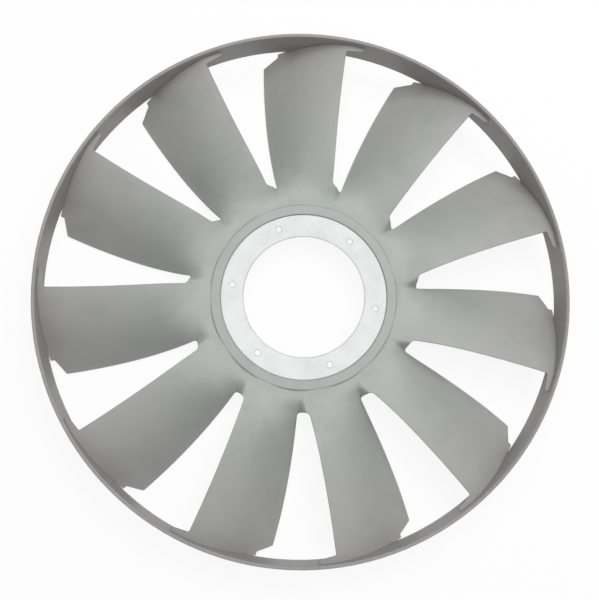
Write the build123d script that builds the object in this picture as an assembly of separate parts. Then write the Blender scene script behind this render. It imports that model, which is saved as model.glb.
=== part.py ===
"""Ringed axial fan impeller for an engine cooling pack.

One plastic moulding (hub, eleven cambered blades and the ring that joins their tips) is moulded round
a flat metal mounting ring. The fan is bolted through that ring to the driving clutch or flange.

Frame: millimetres, +Z along the fan axis towards the side that the blades' front edges face. The origin
is the centre of the mounting ring's bore, on the ring's bolting face. One bolt hole lies on +Y.
"""
from build123d import *

import os
from math import cos, exp, radians, sin, sqrt

# ---- mounting ring --------------------------------------------------------------------------------
bore_diameter = 174.0
mounting_ring_thickness = 6.0
bolt_count = 6
bolt_hole_diameter = 8.4
bore_to_bolt_line = 17.0                # bore's edge to the circle that the bolts lie on
bolt_line_to_face_edge = 15.0           # and from there to the outer edge of the bolting faces
grip_width = 10.0                       # thinner edge beyond them, which is buried in the hub
grip_rebate = 1.0                       # by which that edge is thinner on each side
bore_chamfer = 0.8
hole_chamfer = 0.5
anchors_per_blade = 2                   # half-round notches that the plastic keys into
anchor_notch_radius = 4.0

# ---- hub ------------------------------------------------------------------------------------------
hub_opening_clearance = 0.5             # plastic's opening round the bolting face
hub_rim_wall = 5.0                      # plastic outside the mounting ring's edge
hub_flat_width = 2.0                    # rim to where the blades start to twist
hub_web_width = 31.2                    # rim to the roots of the gaps between the blades
hub_front_cover = 2.0                   # plastic over the front of the mounting ring
hub_rear_cover = 10.0                   # plastic over its back
hub_edge_chamfer = 1.4
hub_opening_chamfer = 0.6

# ---- ring -----------------------------------------------------------------------------------------
ring_diameter = 750.0                   # over the front lip
ring_lip_width = 5.0
ring_lip_thickness = 4.0
ring_wall = 3.0
ring_front = 43.5                       # lip's front face above the bolting face
ring_depth = 62.0
ring_front_edge_radius = 1.8
ring_edge_chamfer = 1.0

# ---- blades ---------------------------------------------------------------------------------------
blade_count = 11
first_blade_angle = 70.0                # datum line of the first blade, from +X
front_edge_rise = 34.0                  # blade's front edge above the bolting face
front_edge_droop = 6.0                  # of which it loses this much again towards the ring
rear_edge_drop = 53.0                   # blade's rear edge below the bolting face
front_twist_reach = 46.0                # how soon the two edges come to their heights
front_twist_power = 2.3
rear_twist_reach = 43.0
rear_twist_power = 1.5
front_droop_radius = 217.0
camber = 0.55                           # 0 is a flat blade
root_thickness = 7.0
blade_thickness = 4.6
edge_thinning = 0.35                    # share of the thickness lost at both edges
hub_wave_level = -3.3                   # middle surface where it leaves the hub, one wave to a blade
hub_wave_height = 1.5
hub_crest_angle = -8.0                  # from the blade's datum line

# Gap between two blades, seen along the axis.
rear_edge_root = 36.6                   # arc offsets of the blade's edges from its datum line
rear_edge_middle = 50.2
rear_edge_tip = 55.3
front_edge_root = 42.4
front_edge_middle = 49.3
front_edge_tip = 64.3
middle_radius = 250.0
tip_corner_inset = 13.0                 # ring wall to the blade's rear corner
tip_cut_inset = 4.5                     # ring wall to the end of the cut-off corner
tip_cut_length = 21.0                   # its length along the ring
fin_length = 26.5                       # fin that runs on from the front edge along the ring
fin_root_height = 9.5
fin_end_height = 5.5
gap_root_rear_radius = 5.0
gap_root_front_radius = 8.0
gap_corner_radius = 2.5

# ---- worked out -----------------------------------------------------------------------------------
bolt_circle_diameter = bore_diameter + 2 * bore_to_bolt_line
face_diameter = bolt_circle_diameter + 2 * bolt_line_to_face_edge
mounting_ring_radius = face_diameter / 2 + grip_width
hub_opening_radius = face_diameter / 2 + hub_opening_clearance
hub_rim_radius = mounting_ring_radius + hub_rim_wall
hub_rear = -mounting_ring_thickness - hub_rear_cover
twist_start_radius = hub_rim_radius + hub_flat_width
gap_root_radius = hub_rim_radius + hub_web_width
pitch = 360.0 / blade_count
ring_radius = ring_diameter / 2 - ring_lip_width        # inner wall
tip_radius = ring_radius - tip_corner_inset

# ---- how the shapes are built ---------------------------------------------------------------------
overlap = 1.0                           # how far joined shapes run into each other
collar_overlap = 6.0                    # the same for the web and the collar round the mounting ring
sector_start = -0.5 * pitch - 1.2       # middle of the gap at its root
section_count = 16
station_count = 9
station_crowding = 1.6                  # above 1 the stations lie closer together near the hub
levelling_reach = 20.0                  # over which the climb to the next blade ends
slope_step = 0.5
clear_height = 2 * (front_edge_rise + rear_edge_drop)
radius_match = 0.01                     # within which an edge's radius is the one looked for
wedge_tolerance = 0.002                 # within which two wedges' end faces are one


def smooth_step(x):
    """0 below 0, 1 above 1 and an even S between."""
    x = min(max(x, 0.0), 1.0)
    return x * x * (3 - 2 * x)


def through_three(r, root, middle, tip):
    """Value at radius r of the parabola through the values at root, middle and tip radius."""
    a, b, c = gap_root_radius, middle_radius, tip_radius
    return (root * (r - b) * (r - c) / ((a - b) * (a - c))
            + middle * (r - a) * (r - c) / ((b - a) * (b - c))
            + tip * (r - a) * (r - b) / ((c - a) * (c - b)))


def front_edge(r):
    """Arc offset of the front edge from the blade's datum line."""
    return -through_three(r, front_edge_root, front_edge_middle, front_edge_tip)


def rear_edge(r):
    return through_three(r, rear_edge_root, rear_edge_middle, rear_edge_tip)


def chord_share(r, s):
    """0 on the front edge, 1 on the rear edge."""
    return (s - front_edge(r)) / (rear_edge(r) - front_edge(r))


def twist(r, reach, power):
    """Share of its full height that a blade's edge has come to at radius r."""
    return 1 - exp(-(max(r - twist_start_radius, 0.0) / reach) ** power)


def front_height(r):
    droop = max((r - front_droop_radius) / (ring_radius - front_droop_radius), 0.0)
    return front_edge_rise * twist(r, front_twist_reach, front_twist_power) - front_edge_droop * droop ** 2


def rear_height(r):
    return -rear_edge_drop * twist(r, rear_twist_reach, rear_twist_power)


def blade_wave(r, s):
    """Height of the blade itself: it falls from its front edge to its rear edge, ever more steeply.

    In the gap the surface turns up again to the next blade's front edge.
    """
    front, rear = front_height(r), rear_height(r)
    drop = front - rear
    width = rear_edge(r) - front_edge(r)
    u = chord_share(r, s)
    if 0 <= u <= 1:
        return front - drop * u * (1 - camber + camber * u)

    front_slope = -drop * (1 - camber) / width
    rear_slope = -drop * (1 + camber) / width
    gap_width = r * radians(pitch) - width
    beyond_rear = (s - rear_edge(r)) if u > 1 else gap_width + s - front_edge(r)
    v = min(max(beyond_rear / gap_width, 0.0), 1.0)
    rise = v * v * (3 - 2 * v)
    wave = (rear * (1 - rise) + front * rise
            + rear_slope * gap_width * v * (1 - v) ** 2 - front_slope * gap_width * v * v * (1 - v))
    level = front if u < 0 else rear
    in_gap = smooth_step((r - gap_root_radius) / levelling_reach)
    return wave * (1 - in_gap) + level * in_gap


def blade_height(r, s):
    """Height of the middle surface at radius r and arc offset s, with an even wave round the hub's rim."""
    hub_wave = hub_wave_level + hub_wave_height * cos(blade_count * (s / r - radians(hub_crest_angle)))
    share = smooth_step((r - hub_rim_radius) / (gap_root_radius - hub_rim_radius))
    return hub_wave * (1 - share) + blade_wave(r, s) * share


def half_thickness(r, s):
    """Half of the blade's thickness, measured along the axis."""
    slope = (blade_height(r, s + slope_step) - blade_height(r, s - slope_step)) / (2 * slope_step)
    root = 1 - smooth_step((r - hub_rim_radius) / (middle_radius - hub_rim_radius))
    u = min(max(chord_share(r, s), 0.0), 1.0)
    thinned = 1 - edge_thinning * (1 - root) * (2 * u - 1) ** 2
    thickness = (blade_thickness + (root_thickness - blade_thickness) * root) * thinned
    return thickness / 2 * sqrt(1 + slope * slope)


def polar(r, s):
    """Point in the blade's own plan at radius r and arc offset s."""
    return r * cos(s / r), r * sin(s / r)


def radial_stations():
    """Radii of a radial profile's points, closer together where the blades twist out of the hub."""
    inner, outer = hub_rim_radius - collar_overlap, ring_radius + overlap
    return [inner + (outer - inner) * (i / station_count) ** station_crowding
            for i in range(station_count + 1)]


def profile_spline(points):
    """Spline along a profile. All share one parametrisation, so that the loft stays light."""
    reach = points[-1][0] - points[0][0]
    return Edge.make_spline(points, parameters=[(point[0] - points[0][0]) / reach for point in points])


def radial_profile(angle):
    """Section of the blade and hub web in the half plane through the axis at that angle."""
    front, rear = [], []
    for r in radial_stations():
        s = r * radians(angle)
        middle, half = blade_height(r, s), half_thickness(r, s)
        front.append((r, middle + half))
        rear.append((r, middle - half))
    outline = [profile_spline(front), Line(front[-1], rear[-1]),
               profile_spline(rear), Line(rear[0], front[0])]
    return radial_plane(angle) * make_face(outline)


def radial_plane(angle):
    """Half plane through the axis, with X outwards and Y along the axis."""
    a = radians(angle)
    return Plane(origin=(0, 0, 0), x_dir=(cos(a), sin(a), 0), z_dir=(sin(a), -cos(a), 0))


def gap_cutter():
    """Prism of the gap behind the first blade's rear edge, with the next blade's front edge beyond."""
    def next_blade(r, s):
        return polar(r, s + r * radians(pitch))

    rear_radii = [gap_root_radius, 0.75 * gap_root_radius + 0.25 * middle_radius, middle_radius,
                  (middle_radius + tip_radius) / 2, tip_radius]
    rear = [polar(r, rear_edge(r)) for r in rear_radii]
    in_wall = ring_radius + ring_wall
    cut_end = polar(ring_radius - tip_cut_inset, rear_edge(tip_radius) - tip_cut_length)
    cut_outside = polar(in_wall, rear_edge(tip_radius) - tip_cut_length)
    fin_tip = front_edge(tip_radius) - fin_length
    fin_outside = next_blade(in_wall, fin_tip)
    fin_end = next_blade(ring_radius - fin_end_height, fin_tip)
    fin_root = next_blade(ring_radius - fin_root_height, front_edge(tip_radius))
    front_middle = next_blade(middle_radius, front_edge(middle_radius))
    front_root = next_blade(gap_root_radius, front_edge(gap_root_radius))
    outside_middle = polar(in_wall, (rear_edge(tip_radius) + fin_tip + ring_radius * radians(pitch)) / 2)
    outline = [Spline(*rear), Line(rear[-1], cut_end), Line(cut_end, cut_outside),
               ThreePointArc(cut_outside, outside_middle, fin_outside), Line(fin_outside, fin_end),
               Line(fin_end, fin_root), ThreePointArc(fin_root, front_middle, front_root),
               Line(front_root, rear[0])]
    plan = make_face(outline)

    def corner(point):
        return plan.vertices().sort_by_distance(Vector(*point))[0]

    plan = fillet(corner(rear[0]), gap_root_rear_radius)
    plan = fillet(corner(front_root), gap_root_front_radius)
    for point in (rear[-1], cut_end, fin_end, fin_root):
        plan = fillet(corner(point), gap_corner_radius)
    return Pos(0, 0, -clear_height / 2) * extrude(plan, clear_height)


def make_mounting_ring():
    """Flat ring with a thinner notched edge, which the plastic grips."""
    anchors = PolarLocations(mounting_ring_radius, blade_count * anchors_per_blade)
    plan = Circle(mounting_ring_radius) - Circle(bore_diameter / 2)
    plan -= PolarLocations(bolt_circle_diameter / 2, bolt_count, 90) * Circle(bolt_hole_diameter / 2)
    plan -= anchors * Circle(anchor_notch_radius)
    ring = extrude(plan, -mounting_ring_thickness)
    rim = Circle(mounting_ring_radius + overlap) - Circle(face_diameter / 2)
    ring -= extrude(rim, -grip_rebate)
    ring -= Pos(0, 0, -mounting_ring_thickness) * extrude(rim, grip_rebate)
    for diameter, width in ((bore_diameter, bore_chamfer), (bolt_hole_diameter, hole_chamfer)):
        edges = ring.edges().filter_by(GeomType.CIRCLE)
        ring = chamfer(edges.filter_by(lambda e: abs(e.radius - diameter / 2) < radius_match), width)
    return ring


def hub_section():
    """Half section of the collar that holds the mounting ring, before that is cut out of it."""
    inner, outer = hub_opening_radius, hub_rim_radius
    section = make_face(Polyline((inner, hub_rear), (outer, hub_rear), (outer, hub_front_cover),
                                 (inner, hub_front_cover), close=True))
    section = chamfer(section.vertices().sort_by_distance((outer, hub_front_cover, 0))[0], hub_edge_chamfer)
    return chamfer(section.vertices().sort_by_distance((inner, hub_front_cover, 0))[0],
                   hub_opening_chamfer)


def ring_section():
    front, rear = ring_front, ring_front - ring_depth
    lip_rear = front - ring_lip_thickness
    wall_outside, lip_outside = ring_radius + ring_wall, ring_radius + ring_lip_width
    section = make_face(Polyline((ring_radius, rear), (wall_outside, rear), (wall_outside, lip_rear),
                                 (lip_outside, lip_rear), (lip_outside, front), (ring_radius, front),
                                 close=True))
    for corner in ((ring_radius, front), (lip_outside, front)):
        section = fillet(section.vertices().sort_by_distance((*corner, 0))[0], ring_front_edge_radius)
    for corner in ((ring_radius, rear), (wall_outside, rear), (lip_outside, lip_rear)):
        section = chamfer(section.vertices().sort_by_distance((*corner, 0))[0], ring_edge_chamfer)
    return section


def fan_wedge(mounting_ring):
    """One blade with its share of the hub and of the ring."""
    step = pitch / section_count
    web = loft([radial_profile(sector_start + step * i) for i in range(section_count + 1)])
    gap = gap_cutter()
    wedge = web - gap - Rot(0, 0, -pitch) * gap
    start = radial_plane(sector_start)
    for section in (hub_section(), ring_section()):
        wedge += revolve(start * section, Axis.Z, pitch)
    return Rot(0, 0, first_blade_angle) * wedge - mounting_ring


def make_fan(mounting_ring):
    wedge = fan_wedge(mounting_ring).solid()
    first, *others = [Rot(0, 0, pitch * i) * wedge for i in range(blade_count)]
    return first.fuse(*others, glue=True, tol=wedge_tolerance).clean()


os.makedirs("parts", exist_ok=True)
mounting_ring = make_mounting_ring()
export_step(mounting_ring, "parts/mounting_ring.step")
export_step(make_fan(mounting_ring), "parts/fan_moulding.step")
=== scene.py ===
from math import atan2, cos, degrees, exp, hypot, radians, sin, sqrt

import bmesh
import bpy
from mathutils import Matrix, Vector


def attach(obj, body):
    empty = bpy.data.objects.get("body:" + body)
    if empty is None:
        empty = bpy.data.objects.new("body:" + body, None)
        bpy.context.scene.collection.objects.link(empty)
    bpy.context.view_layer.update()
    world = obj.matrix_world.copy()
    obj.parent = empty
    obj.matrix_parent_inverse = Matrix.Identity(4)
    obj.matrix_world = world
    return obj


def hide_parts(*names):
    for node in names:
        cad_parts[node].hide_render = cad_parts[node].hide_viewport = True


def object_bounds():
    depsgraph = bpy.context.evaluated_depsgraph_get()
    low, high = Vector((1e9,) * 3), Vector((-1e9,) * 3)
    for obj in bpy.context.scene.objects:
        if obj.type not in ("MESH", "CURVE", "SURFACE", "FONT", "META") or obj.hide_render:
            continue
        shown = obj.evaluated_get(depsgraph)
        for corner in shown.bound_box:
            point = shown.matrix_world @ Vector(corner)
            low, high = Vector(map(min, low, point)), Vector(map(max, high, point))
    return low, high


# Metres, in the fan's own frame: +Z along its axis, towards the side that the camera is on.

camera_place = Vector((-0.1230, -0.1164, 1.4228))
camera_aim = Vector((0.0354, 0.0038, 0.0435))           # in the plane of the ring's front lip
camera_roll = radians(20.8)                             # a bolt hole lies this far to the left of the top
camera_lens = 60.0
camera_shift = (-0.0485, -0.0301)

key_place = Vector((0.52, 0.50, 2.3))                   # towards the picture's upper right
key_size = 1.6
key_power = 48.0
sky_strength = 0.38
floor_white = 0.9                                       # share of plain white in the floor that is seen

fan_radius = 0.375
edge_round = 0.0009
# width of the painted shade along the edges
painted_edge_shade_width = 0.0016

# Blade and hub web in millimetres and degrees, as in the part's source, but without the front edge's
# droop, which starts further out than the settled region, and without levelling in the gaps.
blade_count = 11
first_blade_angle = 70.0
pitch = 360.0 / blade_count
hub_rim_radius = 134.0
twist_start_radius = 136.0
gap_root_radius, middle_radius, tip_radius = 165.2, 250.0, 357.0
front_edge_rise, front_twist_reach, front_twist_power = 34.0, 46.0, 2.3
rear_edge_drop, rear_twist_reach, rear_twist_power = 53.0, 43.0, 1.5
hub_wave_level, hub_wave_height, hub_crest_angle = -3.3, 1.5, -8.0
front_edge_offsets = (-42.4, -49.3, -64.3)      # at those three radii
rear_edge_offsets = (36.6, 50.2, 55.3)
camber = 0.55
root_thickness, blade_thickness, edge_thinning = 7.0, 4.6, 0.35
slope_step = 0.5
settled_radius, untouched_radius = 178.0, 205.0
rim_margin = 0.1
web_lowest, web_highest = -15.0, 0.0            # heights between which the web meets the rim
web_inside = 133.0                              # just inside the hub's rim
wall_lean = 0.02                                # a face more upright than this is a gap's wall
mm = 1000.0                                     # in a metre
longest_edge = 0.003                            # metres, above which an edge there is halved
weld_distance = 2e-6                            # metres
smooth_angle = radians(32)

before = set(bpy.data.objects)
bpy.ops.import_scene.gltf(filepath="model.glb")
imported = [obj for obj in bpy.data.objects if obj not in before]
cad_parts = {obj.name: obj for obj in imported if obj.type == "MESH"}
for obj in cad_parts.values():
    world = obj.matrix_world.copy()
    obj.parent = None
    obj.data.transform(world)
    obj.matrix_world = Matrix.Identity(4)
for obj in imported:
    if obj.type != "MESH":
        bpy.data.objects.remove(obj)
cad_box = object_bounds()
picture_up = Vector((sin(camera_roll), cos(camera_roll), 0))


def smooth_step(x):
    x = min(max(x, 0.0), 1.0)
    return x * x * (3 - 2 * x)


def edge_offset(r, offsets):
    """Arc offset of a blade's edge: the parabola through its three offsets."""
    a, b, c = gap_root_radius, middle_radius, tip_radius
    root, middle, tip = offsets
    return (root * (r - b) * (r - c) / ((a - b) * (a - c)) + middle * (r - a) * (r - c) / ((b - a) * (b - c))
            + tip * (r - a) * (r - b) / ((c - a) * (c - b)))


def twist(r, reach, power):
    return 1 - exp(-(max(r - twist_start_radius, 0.0) / reach) ** power)


def surface_height(r, s):
    """Middle surface of blade and hub web at radius r and arc offset s."""
    front = front_edge_rise * twist(r, front_twist_reach, front_twist_power)
    rear = -rear_edge_drop * twist(r, rear_twist_reach, rear_twist_power)
    front_s, rear_s = edge_offset(r, front_edge_offsets), edge_offset(r, rear_edge_offsets)
    drop, width = front - rear, rear_s - front_s
    u = (s - front_s) / width
    if 0 <= u <= 1:
        wave = front - drop * u * (1 - camber + camber * u)
    else:
        gap = r * radians(pitch) - width
        v = min(max((s - rear_s if u > 1 else gap + s - front_s) / gap, 0.0), 1.0)
        rise = v * v * (3 - 2 * v)
        wave = (rear * (1 - rise) + front * rise - drop * (1 + camber) / width * gap * v * (1 - v) ** 2
                + drop * (1 - camber) / width * gap * v * v * (1 - v))
    hub = hub_wave_level + hub_wave_height * cos(blade_count * (s / r - radians(hub_crest_angle)))
    share = smooth_step((r - hub_rim_radius) / (gap_root_radius - hub_rim_radius))
    return hub * (1 - share) + wave * share


def surface_half_thickness(r, s):
    slope = (surface_height(r, s + slope_step) - surface_height(r, s - slope_step)) / (2 * slope_step)
    root = 1 - smooth_step((r - hub_rim_radius) / (middle_radius - hub_rim_radius))
    front_s, rear_s = edge_offset(r, front_edge_offsets), edge_offset(r, rear_edge_offsets)
    u = min(max((s - front_s) / (rear_s - front_s), 0.0), 1.0)
    thinned = 1 - edge_thinning * (1 - root) * (2 * u - 1) ** 2
    thickness = (blade_thickness + (root_thickness - blade_thickness) * root) * thinned
    return thickness / 2 * sqrt(1 + slope ** 2)


def make_moulding():
    """The moulding's own mesh, with the web and blade roots settled onto their even wave."""
    mesh = bpy.data.meshes.new("fan_form")
    form = bmesh.new()
    form.from_mesh(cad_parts["fan_moulding"].data)
    bmesh.ops.remove_doubles(form, verts=form.verts, dist=weld_distance)
    near = [edge for edge in form.edges if edge.calc_length() > longest_edge
            and all(web_inside < mm * hypot(v.co.x, v.co.y) < untouched_radius for v in edge.verts)]
    bmesh.ops.subdivide_edges(form, edges=near, cuts=1)
    bmesh.ops.triangulate(form, faces=form.faces)
    form.normal_update()
    moves = []
    for vertex in form.verts:
        x, y, z = (mm * value for value in vertex.co)
        r = hypot(x, y)
        on_rim = abs(r - hub_rim_radius) < rim_margin and web_lowest < z < web_highest
        if r > untouched_radius or (r < hub_rim_radius + rim_margin and not on_rim):
            continue
        lean = sum(face.normal.z * face.calc_area() for face in vertex.link_faces
                   if abs(face.normal.z) > wall_lean)
        if lean == 0:
            continue
        angle = (degrees(atan2(y, x)) - first_blade_angle + pitch / 2) % pitch - pitch / 2
        s = r * radians(angle)
        half = surface_half_thickness(r, s)
        target = surface_height(r, s) + (half if lean > 0 else -half)
        share = 1 - smooth_step((r - settled_radius) / (untouched_radius - settled_radius))
        moves.append((vertex, (z + (target - z) * share) / mm))
    for vertex, height in moves:
        vertex.co.z = height
    bmesh.ops.dissolve_degenerate(form, edges=form.edges, dist=weld_distance)
    bmesh.ops.triangulate(form, faces=form.faces)
    form.normal_update()
    for face in form.faces:
        face.smooth = True
    for edge in form.edges:
        edge.smooth = edge.calc_face_angle(0) < smooth_angle
    form.to_mesh(mesh)
    form.free()
    if "custom_normal" in mesh.attributes:
        mesh.attributes.remove(mesh.attributes["custom_normal"])
    mesh.materials.clear()
    mesh.materials.append(moulded_plastic())
    moulding = bpy.data.objects.new("fan_form", mesh)
    bpy.context.collection.objects.link(moulding)
    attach(moulding, "root")
    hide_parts("fan_moulding")


def new_material(name):
    material = bpy.data.materials.new(name)
    material.use_nodes = True
    return material, material.node_tree, material.node_tree.nodes["Principled BSDF"]


def noise(tree, scale, detail=4.0, roughness=0.5, stretch=(1, 1, 1)):
    """Noise in the object's own coordinates."""
    place = tree.nodes.new("ShaderNodeTexCoord")
    mapping = tree.nodes.new("ShaderNodeMapping")
    texture = tree.nodes.new("ShaderNodeTexNoise")
    mapping.inputs["Scale"].default_value = stretch
    texture.inputs["Scale"].default_value = scale
    texture.inputs["Detail"].default_value = detail
    texture.inputs["Roughness"].default_value = roughness
    tree.links.new(place.outputs["Object"], mapping.inputs["Vector"])
    tree.links.new(mapping.outputs["Vector"], texture.inputs["Vector"])
    return texture.outputs["Fac"]


def ramp(tree, value, *stops):
    """Colours or greys placed along a value from 0 to 1."""
    node = tree.nodes.new("ShaderNodeValToRGB")
    elements = node.color_ramp.elements
    while len(elements) < len(stops):
        elements.new(0.5)
    for element, (position, colour) in zip(elements, stops):
        element.position = position
        element.color = (*colour, 1) if isinstance(colour, tuple) else (colour, colour, colour, 1)
    tree.links.new(value, node.inputs["Fac"])
    return node.outputs["Color"]


def bump(tree, value, shader, distance, strength, normal):
    node = tree.nodes.new("ShaderNodeBump")
    tree.links.new(normal, node.inputs["Normal"])
    node.inputs["Distance"].default_value = distance
    node.inputs["Strength"].default_value = strength
    tree.links.new(value, node.inputs["Height"])
    tree.links.new(node.outputs["Normal"], shader.inputs["Normal"])


def rounded(tree, radius):
    """Normal that rolls over the edges, as a moulded or tumbled edge does."""
    node = tree.nodes.new("ShaderNodeBevel")
    node.samples = 4
    node.inputs["Radius"].default_value = radius
    return node.outputs["Normal"]


def painted_edge_shade(tree, darkest):
    """Grey that falls to its darkest on sharp edges: painted shade, a thin dark outline where the edges roll
    away from the light.
    """
    surface = tree.nodes.new("ShaderNodeNewGeometry")
    dot = tree.nodes.new("ShaderNodeVectorMath")
    dot.operation = "DOT_PRODUCT"
    tree.links.new(rounded(tree, painted_edge_shade_width), dot.inputs[0])
    tree.links.new(surface.outputs["Normal"], dot.inputs[1])
    return ramp(tree, dot.outputs["Value"], (0.80, darkest), (0.985, 1.0))


def axis_distance(tree):
    """Distance from the fan's axis as a share of its radius."""
    place = tree.nodes.new("ShaderNodeTexCoord")
    flat = tree.nodes.new("ShaderNodeMapping")
    length = tree.nodes.new("ShaderNodeVectorMath")
    flat.inputs["Scale"].default_value = (1 / fan_radius, 1 / fan_radius, 0)
    length.operation = "LENGTH"
    tree.links.new(place.outputs["Object"], flat.inputs["Vector"])
    tree.links.new(flat.outputs["Vector"], length.inputs[0])
    return length.outputs["Value"]


def multiply(tree, first, second):
    node = tree.nodes.new("ShaderNodeMix")
    node.data_type = "RGBA"
    node.blend_type = "MULTIPLY"
    node.inputs["Factor"].default_value = 1.0
    tree.links.new(first, node.inputs["A"])
    tree.links.new(second, node.inputs["B"])
    return node.outputs["Result"]


def moulded_plastic():
    """Grey nylon: greener and paler round the hub, with flow marks, and darker outwards, darkest at the
    ring.
    """
    material, tree, shader = new_material("moulded_plastic")
    outwards = ramp(tree, axis_distance(tree), (0.34, (0.415, 0.437, 0.425)),
                    (0.44, (0.435, 0.455, 0.437)), (0.60, (0.390, 0.402, 0.384)),
                    (0.90, (0.362, 0.363, 0.352)), (0.99, (0.325, 0.315, 0.308)))
    clouds = ramp(tree, noise(tree, 14, detail=4, roughness=0.55), (0.35, (0.93, 0.955, 0.95)),
                  (0.5, (1.0, 1.0, 1.0)), (0.68, (1.0, 1.0, 0.99)))
    flow = ramp(tree, noise(tree, 55, detail=3, roughness=0.6), (0.3, (0.965, 0.955, 0.955)),
                (0.7, (1.0, 1.0, 1.0)))
    colour = multiply(tree, outwards, clouds)
    colour = multiply(tree, colour, flow)
    # painted shade: a thin dark outline along the moulding's edges
    tree.links.new(multiply(tree, colour, painted_edge_shade(tree, 0.42)), shader.inputs["Base Color"])
    grain = noise(tree, 900, detail=2)
    tree.links.new(ramp(tree, grain, (0.3, 0.44), (0.7, 0.56)), shader.inputs["Roughness"])
    bump(tree, grain, shader, 0.0002, 0.25, rounded(tree, edge_round))
    return material


def brushed_steel():
    """Bright plated steel with a satin brushing and faint stains."""
    material, tree, shader = new_material("plated_steel")
    shader.inputs["Metallic"].default_value = 1.0
    streaks = ramp(tree, noise(tree, 60, detail=4, stretch=(1, 12, 1)), (0.3, (0.95, 0.95, 0.95)),
                   (0.7, (1.0, 1.0, 1.0)))
    stains = ramp(tree, noise(tree, 22, detail=5, roughness=0.6), (0.34, (0.78, 0.79, 0.80)),
                  (0.55, (0.86, 0.875, 0.87)))
    colour = multiply(tree, stains, streaks)
    # painted shade: a dark outline on the steel's edges, which also darkens the bolt holes and the bore
    tree.links.new(multiply(tree, colour, painted_edge_shade(tree, 0.25)), shader.inputs["Base Color"])
    tree.links.new(ramp(tree, streaks, (0.95, 0.46), (1.0, 0.36)), shader.inputs["Roughness"])
    bump(tree, streaks, shader, 0.0001, 0.3, rounded(tree, edge_round))
    return material


def seen_white(tree, shader_socket, share, output):
    """Mixes plain white into what the camera and mirrors see, and leaves the light as it is."""
    path = tree.nodes.new("ShaderNodeLightPath")
    seen = path.outputs["Is Camera Ray"]
    for name in ("Is Glossy Ray", "Is Transmission Ray"):
        either = tree.nodes.new("ShaderNodeMath")
        either.operation = "MAXIMUM"
        tree.links.new(seen, either.inputs[0])
        tree.links.new(path.outputs[name], either.inputs[1])
        seen = either.outputs[0]
    part = tree.nodes.new("ShaderNodeMath")
    part.operation = "MULTIPLY"
    part.inputs[1].default_value = share
    tree.links.new(seen, part.inputs[0])
    kind = "ShaderNodeBackground" if output.bl_idname == "ShaderNodeOutputWorld" else "ShaderNodeEmission"
    white = tree.nodes.new(kind)
    white.inputs["Color"].default_value = (1, 1, 1, 1)
    white.inputs["Strength"].default_value = 1.0
    mix = tree.nodes.new("ShaderNodeMixShader")
    tree.links.new(part.outputs[0], mix.inputs[0])
    tree.links.new(shader_socket, mix.inputs[1])
    tree.links.new(white.outputs[0], mix.inputs[2])
    tree.links.new(mix.outputs[0], output.inputs["Surface"])


def make_floor():
    half = 6.0
    lowest = cad_box[0][2]
    mesh = bpy.data.meshes.new("floor")
    mesh.from_pydata([(-half, -half, lowest), (half, -half, lowest), (half, half, lowest),
                      (-half, half, lowest)], [], [(0, 1, 2, 3)])
    floor = bpy.data.objects.new("floor", mesh)
    bpy.context.collection.objects.link(floor)
    material, tree, shader = new_material("white_floor")
    shader.inputs["Base Color"].default_value = (0.9, 0.9, 0.9, 1)
    shader.inputs["Roughness"].default_value = 0.9
    seen_white(tree, shader.outputs["BSDF"], floor_white, tree.nodes["Material Output"])
    mesh.materials.append(material)


def make_lights():
    world = bpy.data.worlds.new("studio")
    world.use_nodes = True
    bpy.context.scene.world = world
    tree = world.node_tree
    sky = tree.nodes["Background"]
    sky.inputs["Color"].default_value = (1.0, 0.97, 0.96, 1)
    sky.inputs["Strength"].default_value = sky_strength
    seen_white(tree, sky.outputs["Background"], 1.0, tree.nodes["World Output"])

    lamp = bpy.data.lights.new("key", "AREA")
    lamp.size = key_size
    lamp.energy = key_power
    lamp.color = (0.98, 1.0, 0.985)
    key = bpy.data.objects.new("key", lamp)
    key.location = key_place
    key.rotation_euler = (-key_place).to_track_quat("-Z", "Y").to_euler()
    key.visible_glossy = False      # the flat metal would mirror it as one white patch
    bpy.context.collection.objects.link(key)


def make_camera():
    back = (camera_place - camera_aim).normalized()
    right = picture_up.cross(back).normalized()
    turn = Matrix((right, back.cross(right), back)).transposed()
    data = bpy.data.cameras.new("camera")
    data.lens = camera_lens
    data.sensor_width = 36.0
    data.shift_x, data.shift_y = camera_shift
    camera = bpy.data.objects.new("camera", data)
    camera.matrix_world = Matrix.Translation(camera_place) @ turn.to_4x4()
    bpy.context.collection.objects.link(camera)
    bpy.context.scene.camera = camera


def dress(node, material):
    """Gives a CAD node its material."""
    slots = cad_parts[node].material_slots
    for slot in slots:
        slot.material = material


make_camera()
make_lights()
make_floor()
make_moulding()
dress("mounting_ring", brushed_steel())

settings = bpy.context.scene.view_settings
settings.view_transform = "Standard"
